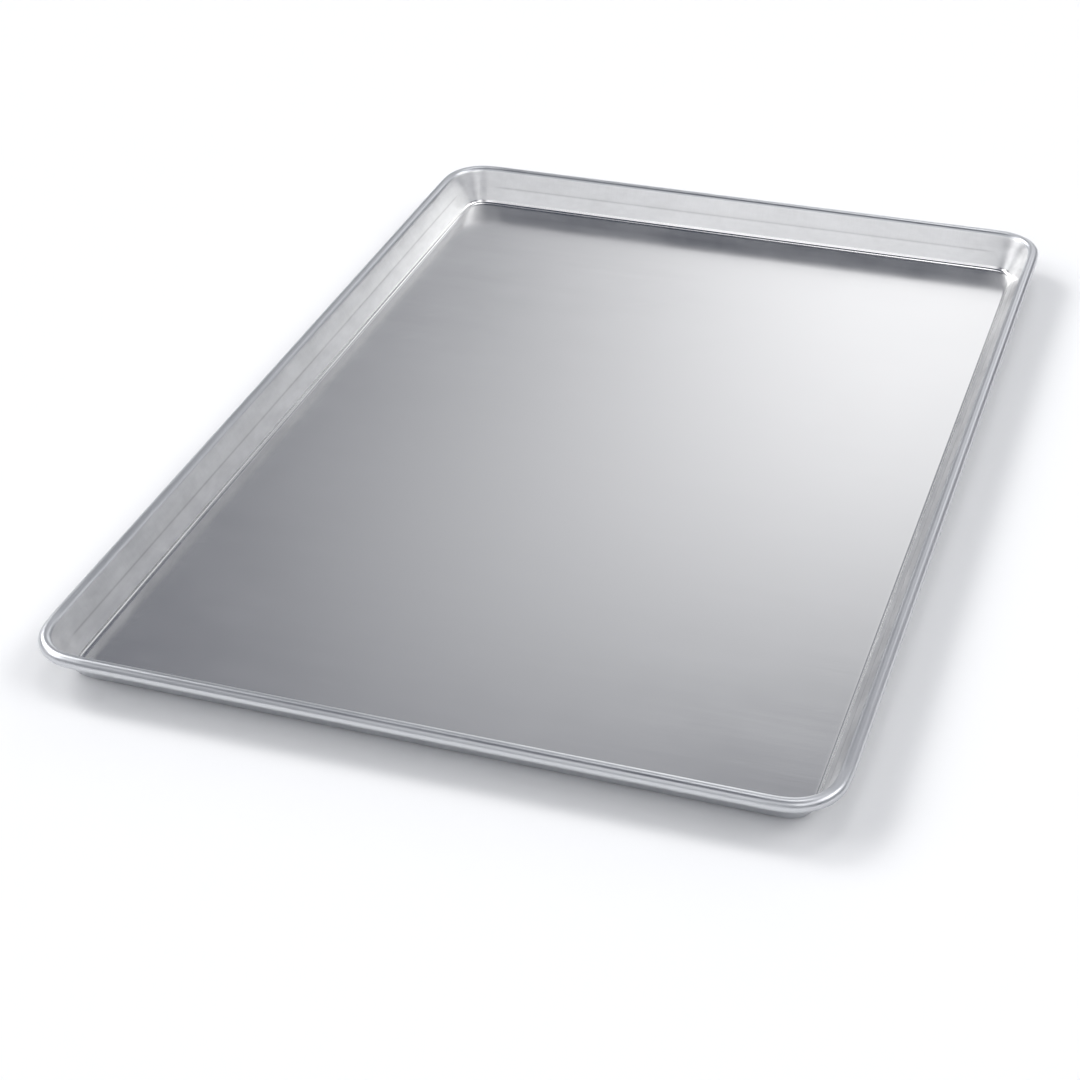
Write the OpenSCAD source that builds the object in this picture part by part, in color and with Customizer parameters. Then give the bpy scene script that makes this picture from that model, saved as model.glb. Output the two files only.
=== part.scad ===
// Full-size jelly roll pan: one pressed aluminium sheet with its edge curled round a steel wire.
// X is the short side, Y the long side. The origin is under the middle of the base, +Z up.

/* [Pan] */
// Overall width across the rim, short side
pan_w = 454; // [240:1:500]
// Overall length across the rim, long side
pan_l = 657; // [330:1:700]
// Overall height, from the underside of the base to the top of the bead
pan_h = 25.4; // [18:0.1:60]
// Outside radius of each corner, at the widest part of the bead
corner_r = 31.5; // [28:0.5:60]

/* [Sheet] */
// Thickness of the aluminium sheet
sheet_t = 1.2; // [0.8:0.1:2]
// Distance from the outer edge of the bead in to the line where wall and base meet
base_inset = 18.4; // [15:0.1:22]
// Inside radius of the bend between base and wall
bend_r = 3; // [1.5:0.1:5]

/* [Rim] */
// Diameter of the reinforcing wire in the bead
wire_d = 5.3; // [3:0.1:6]
// Gap all round between the wire and the curled sheet
wire_gap = 0.1; // [0.05:0.01:0.3]
// Gap between the curled edge and the outside of the wall
curl_gap = 0.5; // [0.2:0.1:1]
// Gap between the two butted ends of the wire
wire_butt_gap = 1.5; // [0.5:0.1:5]
// Place of the butted ends along one long side, from its middle
wire_butt_at = 60; // [-100:1:100]

/* [Hidden] */
$fn = 96;

// The section is drawn with x measured out from the corner's axis and y as height.
curl_in_r = wire_d / 2 + wire_gap;
bead_r = curl_in_r + sheet_t;
bead_x = corner_r - bead_r;
bead_y = pan_h - bead_r;

// The wall's inner face runs from the base line to the side of the bead, which it touches.
base_line_x = corner_r - base_inset;
rise = bead_y - sheet_t;
run = bead_x - base_line_x;
slant = sqrt(rise * rise + run * run);
draft = atan(run / rise) - asin(bead_r / slant);

// The bend turns the sheet from level to the wall's slope.
bend_turn = 90 - draft;
bend_run = bend_r * tan(bend_turn / 2);
bend_x = base_line_x - bend_run;
bend_y = sheet_t + bend_r;
// Share of the bend that is drawn from each of its ends, so that the two overlap
bend_share = 0.6;

// Flat stretch of wall between bend and curl
wall_len = sqrt(slant * slant - bead_r * bead_r) - bend_run;
wall_top_to_bead = bend_r + bead_r;

// Angle that the curl leaves open under the bead, between its tip and the wall
curl_open = acos((curl_in_r - curl_gap) / bead_r);

straight_x = pan_w - 2 * corner_r;
straight_y = pan_l - 2 * corner_r;

// Fan of triangles round the origin, reaching past radius r, to cut a ring with
module fan(r, from, turn) {
    steps = 8;
    reach = 1.1 * r / cos(turn / steps / 2);
    rim = [for (i = [0 : steps]) from + turn * i / steps];
    polygon(concat([[0, 0]], [for (a = rim) reach * [cos(a), sin(a)]]));
}

// Arc of sheet about the origin, between two angles
module sheet_arc(inner_r, from, turn) {
    intersection() {
        difference() {
            circle(r = inner_r + sheet_t);
            circle(r = inner_r);
        }
        fan(inner_r + sheet_t, from, turn);
    }
}

// Turns the drawing about the bend's centre, so that the wall stands upright in it
module along_wall() {
    translate([bend_x, bend_y]) rotate(-draft) children();
}

// Puts the drawing at the centre of the bead, still turned with the wall
module at_bead() {
    along_wall() translate([wall_top_to_bead, wall_len]) children();
}

// Strip of base and the first part of the bend
module base_strip() {
    square([bend_x, sheet_t]);
    translate([bend_x, bend_y]) sheet_arc(bend_r, -90, bend_turn * bend_share);
}

// Last part of the bend and the sloping wall
module wall_strip() {
    along_wall() {
        sheet_arc(bend_r, -bend_turn * bend_share, bend_turn * bend_share);
        translate([bend_r, 0]) square([sheet_t, wall_len]);
    }
}

// Edge curled over the top of the wire and back under it, short of the wall
module curl() {
    at_bead() sheet_arc(curl_in_r, curl_open - 180, 360 - curl_open);
}

// Whole section of the sheet, from the corner's axis out to the curl
module sheet_section() {
    base_strip();
    wall_strip();
    curl();
}

// Section of the wire
module wire_section() {
    at_bead() circle(d = wire_d);
}

// Places a child that is drawn at the origin with its axis up at each of the four corner axes
module at_corners() {
    translate([straight_x / 2, straight_y / 2, 0]) children();
    translate([-straight_x / 2, straight_y / 2, 0]) rotate([0, 0, 90]) children();
    translate([-straight_x / 2, -straight_y / 2, 0]) rotate([0, 0, 180]) children();
    translate([straight_x / 2, -straight_y / 2, 0]) rotate([0, 0, 270]) children();
}

// A section run straight along +Y for a length, starting at y = 0
module run_straight(length) {
    translate([0, length, 0]) rotate([90, 0, 0]) linear_extrude(height = length) children();
}

// Places a straight run of a section along the long side at +X, then along the one at -X
module at_long_sides() {
    translate([straight_x / 2, -straight_y / 2, 0]) children();
    translate([-straight_x / 2, straight_y / 2, 0]) rotate([0, 0, 180]) children();
}

// Places a straight run of a section along the two short sides
module at_short_sides() {
    translate([straight_x / 2, straight_y / 2, 0]) rotate([0, 0, 90]) children();
    translate([-straight_x / 2, -straight_y / 2, 0]) rotate([0, 0, 270]) children();
}

// Formed sheet: base, bend, wall and curl in one piece
module pan_shell() {
    color("silver") {
        translate([-straight_x / 2, -straight_y / 2, 0]) cube([straight_x, straight_y, sheet_t]);
        at_corners() rotate_extrude(angle = 90) sheet_section();
        at_long_sides() run_straight(straight_y) sheet_section();
        at_short_sides() run_straight(straight_x) sheet_section();
    }
}

// Steel wire that runs round inside the bead, its two ends butted on one long side
module rim_wire() {
    butt_from = straight_y / 2 + wire_butt_at - wire_butt_gap / 2;
    butt_to = butt_from + wire_butt_gap;
    color("gray") {
        at_corners() rotate_extrude(angle = 90) wire_section();
        at_short_sides() run_straight(straight_x) wire_section();
        translate([-straight_x / 2, straight_y / 2, 0]) rotate([0, 0, 180])
            run_straight(straight_y) wire_section();
        translate([straight_x / 2, -straight_y / 2, 0]) {
            run_straight(butt_from) wire_section();
            translate([0, butt_to, 0]) run_straight(straight_y - butt_to) wire_section();
        }
    }
}

pan_shell();
rim_wire();
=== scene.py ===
"""Looks of a full-size aluminium jelly roll pan: one pressed sheet, its edge curled round a steel wire.

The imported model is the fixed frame. Everything is in metres with +Z up. The origin is under the middle
of the base, X runs along the short side and Y along the long side.
"""

import logging
import math
from dataclasses import dataclass
from enum import Enum

import bmesh
import bpy
from mathutils import Matrix, Vector


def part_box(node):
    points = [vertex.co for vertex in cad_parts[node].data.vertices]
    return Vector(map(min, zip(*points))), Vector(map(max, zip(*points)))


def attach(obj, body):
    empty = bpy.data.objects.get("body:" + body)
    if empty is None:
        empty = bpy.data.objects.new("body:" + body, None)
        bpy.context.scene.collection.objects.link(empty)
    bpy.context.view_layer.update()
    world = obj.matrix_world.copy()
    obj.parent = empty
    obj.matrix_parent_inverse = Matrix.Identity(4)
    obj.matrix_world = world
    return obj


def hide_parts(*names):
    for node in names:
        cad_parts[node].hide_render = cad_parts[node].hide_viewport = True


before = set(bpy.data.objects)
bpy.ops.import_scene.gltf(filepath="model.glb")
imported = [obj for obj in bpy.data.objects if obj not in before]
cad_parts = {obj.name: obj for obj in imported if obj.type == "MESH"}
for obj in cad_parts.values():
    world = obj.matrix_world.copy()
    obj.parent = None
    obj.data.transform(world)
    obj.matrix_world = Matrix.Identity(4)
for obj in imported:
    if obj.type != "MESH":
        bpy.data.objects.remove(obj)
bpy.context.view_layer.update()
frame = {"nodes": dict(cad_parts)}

LOG = logging.getLogger("pan")

Colour = tuple[float, float, float]


class Zone(Enum):
    """Named stretches of the sheet's surface, each an attribute that is 1 there and 0 elsewhere."""

    WALL = "wall"
    BEAD = "bead"
    OUTSIDE = "outside"


class TreeKind(Enum):
    """Kinds of node tree that the script builds."""

    GEOMETRY = "GeometryNodeTree"
    SHADER = "ShaderNodeTree"


class SocketKind(Enum):
    """Kinds of input and output that a node tree is given."""

    GEOMETRY = "NodeSocketGeometry"
    NUMBER = "NodeSocketFloat"
    COUNT = "NodeSocketInt"
    VECTOR = "NodeSocketVector"
    MATERIAL = "NodeSocketMaterial"


class Graph:
    """Adds nodes to a node tree and joins them."""

    def __init__(self, tree: bpy.types.NodeTree) -> None:
        """Keeps the tree.

        Args:
            tree: The node tree to add to.
        """
        self.tree = tree

    def add(self, kind: str, inputs: dict | None = None, **settings: object) -> bpy.types.Node:
        """Adds one node.

        Args:
            kind: The node's type name.
            inputs: Values or sockets for its inputs, by input name or index.
            **settings: Properties of the node.

        Returns:
            The new node.
        """
        node = self.tree.nodes.new(kind)
        for name, value in settings.items():
            setattr(node, name, value)
        for key, value in (inputs or {}).items():
            self.feed(node.inputs[key], value)
        return node

    def feed(self, socket: bpy.types.NodeSocket, value: object) -> None:
        """Links a socket to an input, or sets the input's value.

        Args:
            socket: The input.
            value: Another node's output, or a plain value.
        """
        if isinstance(value, bpy.types.NodeSocket):
            self.tree.links.new(value, socket)
        else:
            socket.default_value = value

    def math(self, operation: str, *values: object) -> bpy.types.NodeSocket:
        """Adds a Math node.

        Args:
            operation: Name of the operation.
            *values: Its operands, as numbers or sockets.

        Returns:
            The result's socket.
        """
        return self.add("ShaderNodeMath", dict(enumerate(values)), operation=operation).outputs[0]

    def vector(self, operation: str, *values: object) -> bpy.types.NodeSocket:
        """Adds a Vector Math node.

        Args:
            operation: Name of the operation.
            *values: Its operands, as vectors or sockets.

        Returns:
            The result's socket, which is a number for DOT_PRODUCT.
        """
        node = self.add("ShaderNodeVectorMath", dict(enumerate(values)), operation=operation)
        return node.outputs["Value" if operation == "DOT_PRODUCT" else "Vector"]

    def scaled(self, vector: object, factor: object) -> bpy.types.NodeSocket:
        """Multiplies a vector by a number.

        Args:
            vector: Vector or socket.
            factor: Number or socket.

        Returns:
            The scaled vector's socket.
        """
        node = self.add("ShaderNodeVectorMath", {"Vector": vector, "Scale": factor}, operation="SCALE")
        return node.outputs["Vector"]

    def ramp(self, value: object, low: object, high: object, start: object = 0.0,
             end: object = 1.0) -> bpy.types.NodeSocket:
        """Maps a value smoothly from one range to another and stops at its ends.

        Args:
            value: The number to map.
            low: Value that gives start.
            high: Value that gives end.
            start: Result at and below low.
            end: Result at and above high.

        Returns:
            The result's socket.
        """
        inputs = {"Value": value, "From Min": low, "From Max": high, "To Min": start, "To Max": end}
        return self.add("ShaderNodeMapRange", inputs, interpolation_type="SMOOTHSTEP").outputs["Result"]

    def product(self, first: object, *others: object) -> bpy.types.NodeSocket:
        """Multiplies numbers.

        Args:
            first: Number or socket.
            *others: The numbers or sockets that it is multiplied by.

        Returns:
            The product's socket.
        """
        for other in others:
            first = self.math("MULTIPLY", first, other)
        return first

    def total(self, first: object, *others: object) -> bpy.types.NodeSocket:
        """Adds numbers.

        Args:
            first: Number or socket.
            *others: The numbers or sockets that are added to it.

        Returns:
            The sum's socket.
        """
        for other in others:
            first = self.math("ADD", first, other)
        return first

    def bell(self, value: object, middle: object, width: object) -> bpy.types.NodeSocket:
        """Draws a smooth bump: 1 in its middle and near 0 two widths away.

        Args:
            value: Number or socket.
            middle: Value at which the bump is highest.
            width: Its half width.

        Returns:
            The bump's socket.
        """
        share = self.math("DIVIDE", self.math("SUBTRACT", value, middle), width)
        return self.math("EXPONENT", self.product(share, share, -1.0))

    def group(self, tree: bpy.types.NodeTree, inputs: dict[str, object]) -> bpy.types.Node:
        """Places a node group.

        Args:
            tree: The group's tree.
            inputs: Values or sockets for its inputs, by name.

        Returns:
            The group's node.
        """
        kinds = {TreeKind.GEOMETRY.value: "GeometryNodeGroup", TreeKind.SHADER.value: "ShaderNodeGroup"}
        return self.add(kinds[self.tree.bl_idname], inputs, node_tree=tree)

    def parts(self, vector: object) -> tuple[bpy.types.NodeSocket, ...]:
        """Splits a vector.

        Args:
            vector: Vector socket.

        Returns:
            The sockets of its x, y and z.
        """
        return tuple(self.add("ShaderNodeSeparateXYZ", {0: vector}).outputs)

    def join(self, x: object = 0.0, y: object = 0.0, z: object = 0.0) -> bpy.types.NodeSocket:
        """Makes a vector.

        Args:
            x: Its x, a number or socket.
            y: Its y.
            z: Its z.

        Returns:
            The vector's socket.
        """
        return self.add("ShaderNodeCombineXYZ", {0: x, 1: y, 2: z}).outputs[0]

    def noise(self, vector: object, scale: float, detail: float = 2.0, roughness: float = 0.5,
              seed: object = 0.0) -> bpy.types.NodeSocket:
        """Adds a Noise Texture that is fixed by its seed.

        Args:
            vector: Where it is read.
            scale: Cells for each unit of the vector.
            detail: Octaves.
            roughness: Weight of the finer octaves.
            seed: Fourth coordinate.

        Returns:
            The socket of its value, about 0.5 on average.
        """
        inputs = {"Vector": vector, "W": seed, "Scale": scale, "Detail": detail, "Roughness": roughness}
        return self.add("ShaderNodeTexNoise", inputs, noise_dimensions="4D").outputs[0]

    def mix(self, factor: object, first: object, second: object) -> bpy.types.NodeSocket:
        """Mixes two colours.

        Args:
            factor: Share of the second, from 0 to 1.
            first: Colour or socket.
            second: Colour or socket.

        Returns:
            The mixed colour's socket.
        """
        # The node's inputs 6 and 7 and its output 2 are those for colours.
        node = self.add("ShaderNodeMix", {0: factor, 6: first, 7: second}, data_type="RGBA")
        return node.outputs[2]

    def attribute(self, name: str) -> bpy.types.NodeSocket:
        """Reads a number that is stored on the mesh, in a shader.

        Args:
            name: The attribute's name.

        Returns:
            Its socket.
        """
        return self.add("ShaderNodeAttribute", attribute_name=name).outputs["Fac"]

    def stored(self, name: str) -> bpy.types.NodeSocket:
        """Reads a number that is stored on the geometry, in a geometry tree.

        Args:
            name: The attribute's name.

        Returns:
            Its socket.
        """
        return self.add("GeometryNodeInputNamedAttribute", {"Name": name}, data_type="FLOAT").outputs[0]

    def store(self, geometry: object, name: str, value: object, kind: str = "FLOAT",
              domain: str = "POINT") -> bpy.types.NodeSocket:
        """Stores a value on the geometry.

        Args:
            geometry: The geometry's socket.
            name: The attribute's name.
            value: The value's socket.
            kind: Its data type.
            domain: What holds it.

        Returns:
            The socket of the geometry that holds it.
        """
        inputs = {"Geometry": geometry, "Name": name, "Value": value}
        return self.add("GeometryNodeStoreNamedAttribute", inputs, data_type=kind, domain=domain).outputs[0]

    def finish_mesh(self, mesh: object, inputs: bpy.types.Node, outputs: bpy.types.Node) -> None:
        """Shades a mesh smooth up to its sharp edges, gives it its material and puts it out.

        Args:
            mesh: The mesh's socket.
            inputs: The tree's input node.
            outputs: The tree's output node.
        """
        smooth = self.add("GeometryNodeSetShadeSmooth", {"Geometry": mesh})
        angle = self.add("GeometryNodeInputMeshEdgeAngle").outputs["Unsigned Angle"]
        is_sharp = self.math("GREATER_THAN", angle, inputs.outputs["Sharp Angle"])
        edged = self.add(
            "GeometryNodeSetShadeSmooth",
            {"Geometry": smooth.outputs[0], "Selection": is_sharp, "Shade Smooth": False},
            domain="EDGE",
        )
        real = self.add("GeometryNodeRealizeInstances", {"Geometry": edged.outputs[0]})
        dressed = self.add(
            "GeometryNodeSetMaterial", {"Geometry": real.outputs[0], "Material": inputs.outputs["Material"]}
        )
        self.feed(outputs.inputs[0], dressed.outputs[0])


def new_tree(name: str, kind: TreeKind, inputs: dict[str, SocketKind],
             outputs: dict[str, SocketKind]) -> tuple[Graph, bpy.types.Node, bpy.types.Node]:
    """Starts a node tree with named inputs and outputs.

    Args:
        name: The tree's name.
        kind: Geometry or shader.
        inputs: Kind of each input, by name.
        outputs: Kind of each output, by name.

    Returns:
        The graph, its input node and its output node.
    """
    tree = bpy.data.node_groups.new(name, kind.value)
    for side, sockets in {"INPUT": inputs, "OUTPUT": outputs}.items():
        for label, socket in sockets.items():
            tree.interface.new_socket(name=label, in_out=side, socket_type=socket.value)
    graph = Graph(tree)
    return graph, graph.add("NodeGroupInput"), graph.add("NodeGroupOutput")


def kinds_of(values: dict[str, object]) -> dict[str, SocketKind]:
    """Finds the kind of input that each value needs.

    Args:
        values: Numbers, counts and materials, by name.

    Returns:
        Kind of each, by name.
    """
    kinds = {float: SocketKind.NUMBER, int: SocketKind.COUNT}
    return {name: kinds.get(type(value), SocketKind.MATERIAL) for name, value in values.items()}


def run_tree(obj: bpy.types.Object, tree: bpy.types.NodeTree, values: dict[str, object]) -> None:
    """Runs a geometry tree on an object and keeps the result as its plain mesh.

    Args:
        obj: The object that the tree starts from.
        tree: The geometry tree.
        values: Value of each of the tree's inputs, by name.
    """
    modifier = obj.modifiers.new(tree.name, "NODES")
    modifier.node_group = tree
    for item in tree.interface.items_tree:
        if item.in_out == "INPUT" and item.name in values:
            modifier[item.identifier] = values[item.name]
    depsgraph = bpy.context.evaluated_depsgraph_get()
    mesh = bpy.data.meshes.new_from_object(
        obj.evaluated_get(depsgraph), preserve_all_data_layers=True, depsgraph=depsgraph
    )
    obj.modifiers.remove(modifier)
    obj.data = mesh
    mesh.name = obj.name
    mesh.materials.clear()
    mesh.materials.append(values["Material"])
    mesh.polygons.foreach_set("material_index", [0] * len(mesh.polygons))
    shape = bmesh.new()
    shape.from_mesh(mesh)
    bmesh.ops.recalc_face_normals(shape, faces=shape.faces)
    shape.to_mesh(mesh)
    shape.free()


def polyline(name: str, points: list[tuple[float, float, float]]) -> bpy.types.Object:
    """Makes an object that is one open chain of edges.

    Args:
        name: The object's name.
        points: The chain's points, in order.

    Returns:
        The object, linked to the scene.
    """
    mesh = bpy.data.meshes.new(name)
    mesh.from_pydata(points, [(i, i + 1) for i in range(len(points) - 1)], [])
    obj = bpy.data.objects.new(name, mesh)
    bpy.context.scene.collection.objects.link(obj)
    return obj


def store(obj: bpy.types.Object, name: str, values: list[float]) -> None:
    """Stores one number for each vertex of an object.

    Args:
        obj: The object.
        name: The attribute's name.
        values: The numbers, in the order of the vertices.
    """
    obj.data.attributes.new(name, "FLOAT", "POINT").data.foreach_set("value", values)


def log_piece(obj: bpy.types.Object) -> None:
    """Reports a finished piece.

    Args:
        obj: The piece.
    """
    triangles = sum(len(p.vertices) - 2 for p in obj.data.polygons)
    LOG.info("%s: %d vertices, %d triangles", obj.name, len(obj.data.vertices), triangles)


@dataclass(frozen=True)
class PanSizes:
    """Sizes of the pan in metres.

    Attributes:
        width: Across the rim, short side.
        length: Across the rim, long side.
        height: From the underside of the base to the top of the bead.
        corner_radius: Outside radius of each corner, at the widest part of the bead.
        sheet: Thickness of the sheet.
        base_inset: From the outer edge of the bead in to the line where wall and base meet.
        bend_radius: Inside radius of the bend between base and wall.
        wire: Diameter of the wire.
        wire_gap: Gap all round between wire and curl.
        curl_gap: Gap between the curl's edge and the wall.
        butt_gap: Gap between the two ends of the wire.
        butt_at: Place of the wire's ends along one long side, from its middle.
    """

    width: float
    length: float
    height: float
    corner_radius: float = 0.0315
    sheet: float = 0.0012
    base_inset: float = 0.0184
    bend_radius: float = 0.003
    wire: float = 0.0053
    wire_gap: float = 0.0001
    curl_gap: float = 0.0005
    butt_gap: float = 0.0015
    butt_at: float = 0.060

    @classmethod
    def from_frame(cls, node: str) -> "PanSizes":
        """Takes the overall sizes from the frame.

        Args:
            node: The CAD node that reaches all round.

        Returns:
            The sizes.
        """
        low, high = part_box(node)
        return cls(width=high.x - low.x, length=high.y - low.y, height=high.z - low.z)

    @property
    def curl_radius(self) -> float:
        """Inside radius of the curl."""
        return self.wire / 2 + self.wire_gap

    @property
    def bead_radius(self) -> float:
        """Outside radius of the curl."""
        return self.curl_radius + self.sheet

    @property
    def bead_height(self) -> float:
        """Height of the bead's centre."""
        return self.height - self.bead_radius

    @property
    def path_radius(self) -> float:
        """Corner radius of the bead's centre line."""
        return self.corner_radius - self.bead_radius

    @property
    def path_width(self) -> float:
        """Short side of the bead's centre line."""
        return self.width - 2 * self.bead_radius

    @property
    def path_length(self) -> float:
        """Long side of the bead's centre line."""
        return self.length - 2 * self.bead_radius

    @property
    def side_x(self) -> float:
        """Half the straight part of a short side."""
        return self.width / 2 - self.corner_radius

    @property
    def side_y(self) -> float:
        """Half the straight part of a long side."""
        return self.length / 2 - self.corner_radius

    @property
    def slant(self) -> Vector:
        """From the line where wall and base meet to the bead's centre, outwards and up."""
        return Vector((self.base_inset - self.bead_radius, self.bead_height - self.sheet))

    @property
    def draft(self) -> float:
        """Angle of the wall from upright, in radians, with its inner face touching the bead."""
        x, y = self.slant
        return math.atan2(x, y) - math.asin(self.bead_radius / self.slant.length)

    @property
    def wall_length(self) -> float:
        """Flat stretch of the wall, from bend to curl."""
        reach = math.sqrt(self.slant.length_squared - self.bead_radius ** 2)
        return reach - self.bend_radius * math.tan((math.pi / 2 - self.draft) / 2)


@dataclass(frozen=True)
class SectionStretch:
    """One stretch of the sheet's outline, as points and the zone that they lie in.

    Attributes:
        points: Points in order, out from the bead's centre line and up.
        zone: The zone, or None.
    """

    points: list[Vector]
    zone: Zone | None = None


@dataclass(frozen=True)
class SheetSection:
    """Outline of the sheet's section: from the baking face over the rim and back to the underside.

    Attributes:
        sizes: Sizes of the pan.
        margin: Flat strip of base beside the bend.
        bend_steps: Steps round the bend.
        wall_steps: Steps up the inner wall.
        bead_steps: Steps round the outside of the curl.
        hidden_steps: Steps round the inside of the curl.
        outside_steps: Steps down the outer wall.
        edge_ease: Size of the eased corners at the sheet's cut edge.
    """

    sizes: PanSizes
    margin: float = 0.001
    bend_steps: int = 9
    wall_steps: int = 20
    bead_steps: int = 48
    hidden_steps: int = 12
    outside_steps: int = 4
    edge_ease: float = 0.00015

    @property
    def up(self) -> Vector:
        """Direction up the wall."""
        return Vector((math.sin(self.sizes.draft), math.cos(self.sizes.draft)))

    @property
    def out(self) -> Vector:
        """Direction through the wall, outwards."""
        return Vector((math.cos(self.sizes.draft), -math.sin(self.sizes.draft)))

    @property
    def bead_centre(self) -> Vector:
        """Centre of the bead."""
        return Vector((0.0, self.sizes.bead_height))

    @property
    def bend_centre(self) -> Vector:
        """Centre of the bend between base and wall."""
        through = self.sizes.bend_radius + self.sizes.bead_radius
        return self.bead_centre - through * self.out - self.sizes.wall_length * self.up

    @property
    def start(self) -> float:
        """Place of the outline's first point, out from the bead's centre line."""
        return self.bend_centre.x - self.margin

    @property
    def wall_foot(self) -> float:
        """Distance along the section at which the flat of the wall starts."""
        return self.margin + self.sizes.bend_radius * (math.pi / 2 - self.sizes.draft)

    @staticmethod
    def arc(centre: Vector, radius: float, start: float, end: float, steps: int) -> list[Vector]:
        """Points along an arc.

        Args:
            centre: Its centre.
            radius: Its radius.
            start: First angle, in radians.
            end: Last angle.
            steps: Number of steps.

        Returns:
            The points, ends included.
        """
        turn = (end - start) / steps
        angles = [start + turn * i for i in range(steps + 1)]
        return [centre + radius * Vector((math.cos(a), math.sin(a))) for a in angles]

    @staticmethod
    def line(start: Vector, end: Vector, steps: int) -> list[Vector]:
        """Points along a straight line.

        Args:
            start: First point.
            end: Last point.
            steps: Number of steps.

        Returns:
            The points, ends included.
        """
        return [start.lerp(end, i / steps) for i in range(steps + 1)]

    def stretches(self) -> list[SectionStretch]:
        """Draws the outline.

        Returns:
            Its stretches in order; each starts where the one before ends.
        """
        sizes = self.sizes
        draft = sizes.draft
        bend, bead = self.bend_centre, self.bead_centre
        outer_bend = sizes.bend_radius + sizes.sheet
        opening = math.acos((sizes.curl_radius - sizes.curl_gap) / sizes.bead_radius)
        curl_start = math.pi - draft
        curl_end = opening - math.pi - draft
        round_end = curl_end + self.edge_ease / sizes.bead_radius
        wall_foot = bend + sizes.bend_radius * self.out
        wall_top = bead - sizes.bead_radius * self.out
        tip = Vector((math.cos(curl_end), math.sin(curl_end)))
        tip_in = bead + (sizes.curl_radius + self.edge_ease) * tip
        tip_out = bead + (sizes.bead_radius - self.edge_ease) * tip
        down = -math.pi / 2
        outer_top = bead - sizes.curl_radius * self.out
        outer_foot = bend + outer_bend * self.out
        return [
            SectionStretch([Vector((self.start, sizes.sheet))]),
            SectionStretch(self.arc(bend, sizes.bend_radius, down, -draft, self.bend_steps)),
            SectionStretch(self.line(wall_foot, wall_top, self.wall_steps), Zone.WALL),
            SectionStretch(
                self.arc(bead, sizes.bead_radius, curl_start, round_end, self.bead_steps),
                Zone.BEAD,
            ),
            SectionStretch([tip_out, tip_in], Zone.OUTSIDE),
            SectionStretch(
                self.arc(bead, sizes.curl_radius, round_end, curl_start, self.hidden_steps),
                Zone.OUTSIDE,
            ),
            SectionStretch(self.line(outer_top, outer_foot, self.outside_steps), Zone.OUTSIDE),
            SectionStretch(self.arc(bend, outer_bend, -draft, down, self.bend_steps), Zone.OUTSIDE),
            SectionStretch([Vector((self.start, 0.0))], Zone.OUTSIDE),
        ]

    def chain(self) -> bpy.types.Object:
        """Makes the outline as a chain of edges that holds its zones and its length so far.

        Returns:
            The chain's object.
        """
        same = 1e-7
        points: list[Vector] = []
        zones: list[Zone | None] = []
        for stretch in self.stretches():
            for point in stretch.points:
                if points and (point - points[-1]).length < same:
                    continue
                points.append(point)
                zones.append(stretch.zone)
        across = [0.0]
        for before, after in zip(points, points[1:]):
            across.append(across[-1] + (after - before).length)
        obj = polyline("formed_sheet", [(p.x, p.y, 0.0) for p in points])
        store(obj, "across", across)
        for zone in Zone:
            store(obj, zone.value, [float(z is zone) for z in zones])
        return obj


@dataclass(frozen=True)
class RimLine:
    """The bead's centre line, with corners that ease into the straight sides.

    Attributes:
        sizes: Sizes of the pan.
        corner_steps: Steps round each corner as it is first drawn.
        steps: Even steps round the whole rim.
        passes: Times that each point is averaged with its two neighbours.
    """

    sizes: PanSizes
    corner_steps: int = 60
    steps: int = 820
    passes: int = 8

    @property
    def drawn_radius(self) -> float:
        """Corner radius before the easing, which pulls the corner in to its real place."""
        radius = self.sizes.path_radius
        around = 4 * (self.sizes.side_x + self.sizes.side_y) + math.tau * radius
        # One pass draws a point of an arc in by a third of its step squared, over the radius.
        pull = self.passes * (around / self.steps) ** 2 / (3 * radius)
        return radius - pull / (math.sqrt(2) - 1)

    def easing(self) -> bpy.types.NodeTree:
        """Builds the group that evens a line's steps and eases its corners.

        The ends of an open line are held where they are, over a number of steps.

        Returns:
            The group's tree.
        """
        graph, inputs, outputs = new_tree(
            "ease_corners",
            TreeKind.GEOMETRY,
            {
                "Curve": SocketKind.GEOMETRY,
                "Steps": SocketKind.COUNT,
                "Passes": SocketKind.COUNT,
                "Held Steps": SocketKind.COUNT,
            },
            {"Curve": SocketKind.GEOMETRY},
        )
        line = {"Curve": inputs.outputs["Curve"], "Count": inputs.outputs["Steps"]}
        even = graph.add("GeometryNodeResampleCurve", line)
        position = graph.add("GeometryNodeInputPosition").outputs[0]
        held = inputs.outputs["Held Steps"]
        ends = graph.add("GeometryNodeCurveEndpointSelection", {"Start Size": held, "End Size": held})
        eased = graph.add(
            "GeometryNodeBlurAttribute",
            {
                "Value": position,
                "Iterations": inputs.outputs["Passes"],
                "Weight": graph.math("SUBTRACT", 1.0, ends.outputs[0]),
            },
            data_type="FLOAT_VECTOR",
        )
        place = {"Geometry": even.outputs[0], "Position": eased.outputs[0]}
        graph.feed(outputs.inputs[0], graph.add("GeometryNodeSetPosition", place).outputs[0])
        return graph.tree


@dataclass(frozen=True)
class Pinch:
    """Slight flat on the outside of the bead where each corner starts.

    Attributes:
        place: Distance up and round the section from the base's edge.
        width: Half width round the bead.
        length: Half length along the rim.
        depth: Greatest depth.
    """

    place: float = 0.0370
    width: float = 0.0030
    length: float = 0.0035
    depth: float = 0.00030


@dataclass(frozen=True)
class DrawLine:
    """Line that the die left along the inner walls, which bow out a little up to it from both edges.

    Attributes:
        place: Distance up the section from the base's edge.
        width: Half width of the groove.
        depth: Depth of the groove.
        bow: Depth to which the wall bows out at the line.
        fade: Length over which both fade near each corner.
    """

    place: float = 0.0152
    width: float = 0.0006
    depth: float = 0.00010
    bow: float = 0.00012
    fade: float = 0.055


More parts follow.
